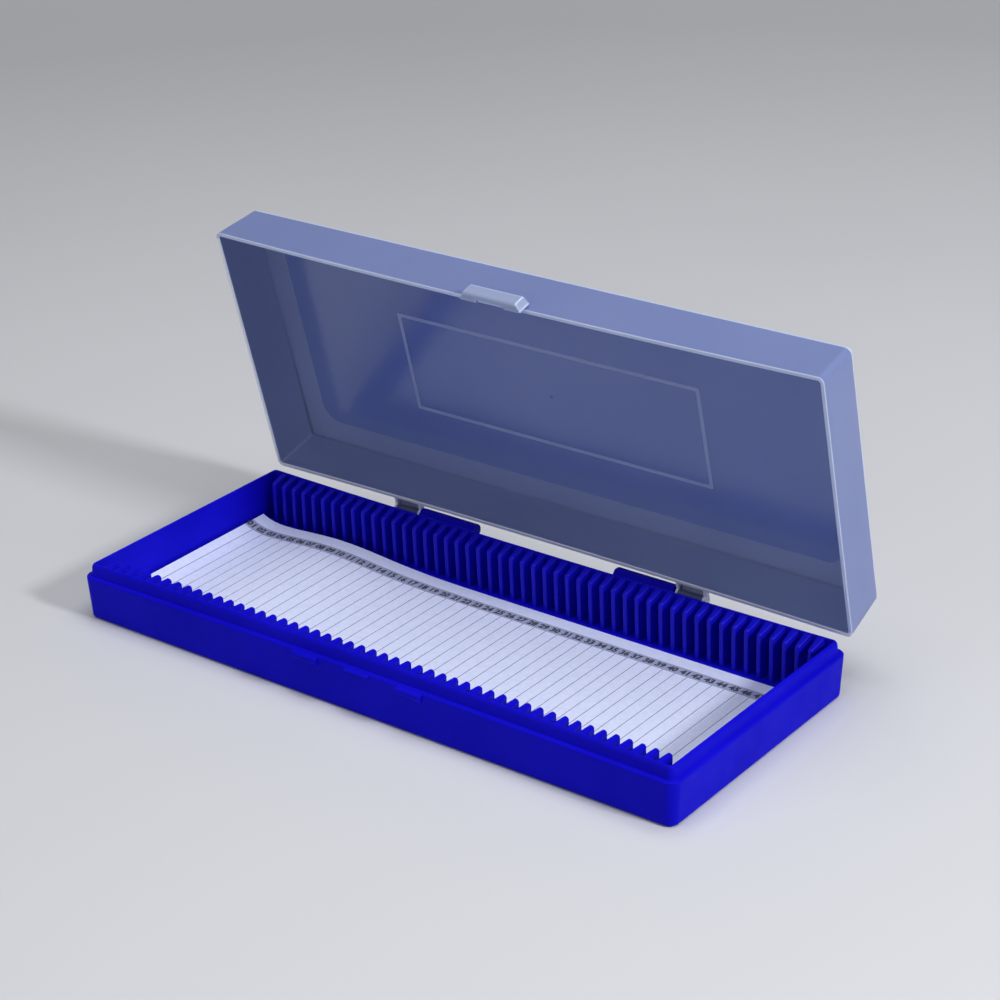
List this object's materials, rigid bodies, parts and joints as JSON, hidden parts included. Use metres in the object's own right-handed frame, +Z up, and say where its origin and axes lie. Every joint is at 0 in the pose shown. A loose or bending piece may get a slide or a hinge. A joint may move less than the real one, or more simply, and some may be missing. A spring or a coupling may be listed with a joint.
{
  "type": "microscope slide box",
  "caption": "Hinged plastic box for microscope slides: a tray with ribbed slots, a frosted lid on rear pin hinges with a front clasp, and a loose paper index sheet.",
  "frame": {"origin": "middle of the tray's underside, on the surface that the box stands on", "axes": "+X along the box to the right as the clasp side is faced, +Y from the clasp side to the hinge side, +Z up"},
  "size_m": [0.208, 0.1046, 0.1034],
  "materials": {
    "tray_plastic": "satin moulded, royal blue",
    "lid_plastic": "frosted translucent, natural",
    "paper": "uncoated white paper"
  },
  "bodies": {
    "tray": {"tray_shell": "tray_plastic", "front_slot_ribs": "tray_plastic", "rear_slot_ribs": "tray_plastic", "hinge_bracket_left": "tray_plastic", "hinge_bracket_right": "tray_plastic", "hinge_pin_left": "tray_plastic", "hinge_pin_right": "tray_plastic", "latch_nib": "tray_plastic", "latch_ear_left": "tray_plastic", "latch_ear_right": "tray_plastic"},
    "lid": {"lid_shell": "lid_plastic", "lid_lug_left": "lid_plastic", "lid_lug_right": "lid_plastic", "lid_clasp": "lid_plastic", "label_frame": "lid_plastic"},
    "sheet": {"index_sheet": "paper"}
  },
  "joints": [
    {"name": "lid_hinge", "type": "hinge", "parent": "tray", "child": "lid", "pos_m": [0, 0.0457, 0.0139], "axis": [-1, 0, 0], "range_deg": [-76, 64]},
    {"name": "sheet_lift", "type": "slide", "parent": "tray", "child": "sheet", "axis": [0, 0, 1], "range_m": [0, 0.012]}
  ]
}
